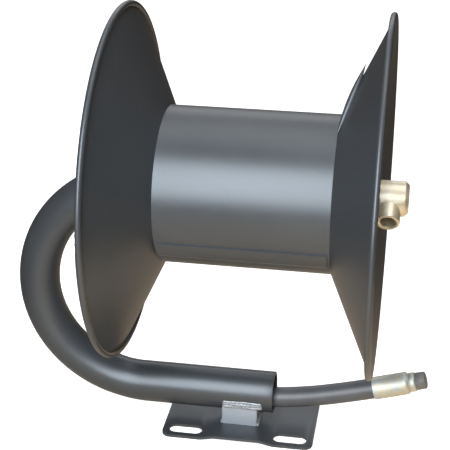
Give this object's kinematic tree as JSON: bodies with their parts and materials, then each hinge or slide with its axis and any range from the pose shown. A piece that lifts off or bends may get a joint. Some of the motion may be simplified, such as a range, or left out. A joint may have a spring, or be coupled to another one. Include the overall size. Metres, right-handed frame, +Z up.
{
  "type": "fire hose reel",
  "caption": "Hose reel with a dished-flange drum turning on a bent tube arm, a slotted foot plate, a brass swivel outlet and a hose inlet stub.",
  "frame": {"origin": "centre of the four-slot pattern in the plane of the base plate's underside", "axes": "+Z up from the base plate, +X along the reel axis from the arm's bend towards the brass swivel, -Y the front that the hose is pulled from"},
  "size_m": [0.4323, 0.3556, 0.4509],
  "materials": {
    "powder_coat": "satin",
    "block_coat": "satin",
    "weld": "satin",
    "zinc_steel": "satin",
    "yellow_zinc": "satin",
    "brass": "satin",
    "seal_rubber": "matt",
    "hose_rubber": "satin",
    "nylon": "matt",
    "cap_plastic": "matt"
  },
  "bodies": {
    "frame": {"base_plate": "powder_coat", "saddle_block": "block_coat", "saddle_welds": "weld", "plate_welds": "weld", "arm_tube": "powder_coat", "stop_collar": "powder_coat", "retaining_collar": "zinc_steel", "collar_set_screws": "zinc_steel", "end_plug": "zinc_steel", "inlet_hose": "hose_rubber", "inner_ferrule": "yellow_zinc", "inner_fitting": "yellow_zinc", "outer_ferrule": "yellow_zinc", "outer_fitting": "yellow_zinc", "swivel_stem": "zinc_steel", "swivel_thrust_washer": "nylon", "swivel_inner_washer": "nylon", "swivel_circlip": "zinc_steel"},
    "drum": {"drum_shell": "powder_coat", "left_flange": "powder_coat", "right_flange": "powder_coat", "hose_guide": "powder_coat", "left_hub": "powder_coat", "right_hub": "powder_coat", "left_bush": "nylon", "right_bush": "nylon", "tie_rods": "zinc_steel", "tie_washers": "zinc_steel", "tie_nuts": "zinc_steel"},
    "swivel": {"swivel_body": "brass", "swivel_end_cap": "brass", "swivel_seals": "seal_rubber"},
    "cap": {"thread_cap": "cap_plastic"}
  },
  "joints": [
    {"name": "drum_spin", "type": "hinge", "parent": "frame", "child": "drum", "pos_m": [0.0084, -0.0075, 0.2731], "axis": [1, 0, 0], "continuous": true},
    {"name": "swivel_turn", "type": "hinge", "parent": "frame", "child": "swivel", "pos_m": [0.1434, -0.0075, 0.2731], "axis": [1, 0, 0], "continuous": true},
    {"name": "cap_pull", "type": "slide", "parent": "frame", "child": "cap", "axis": [0.9568, 0, 0.2907], "range_m": [0, 0.03]}
  ]
}
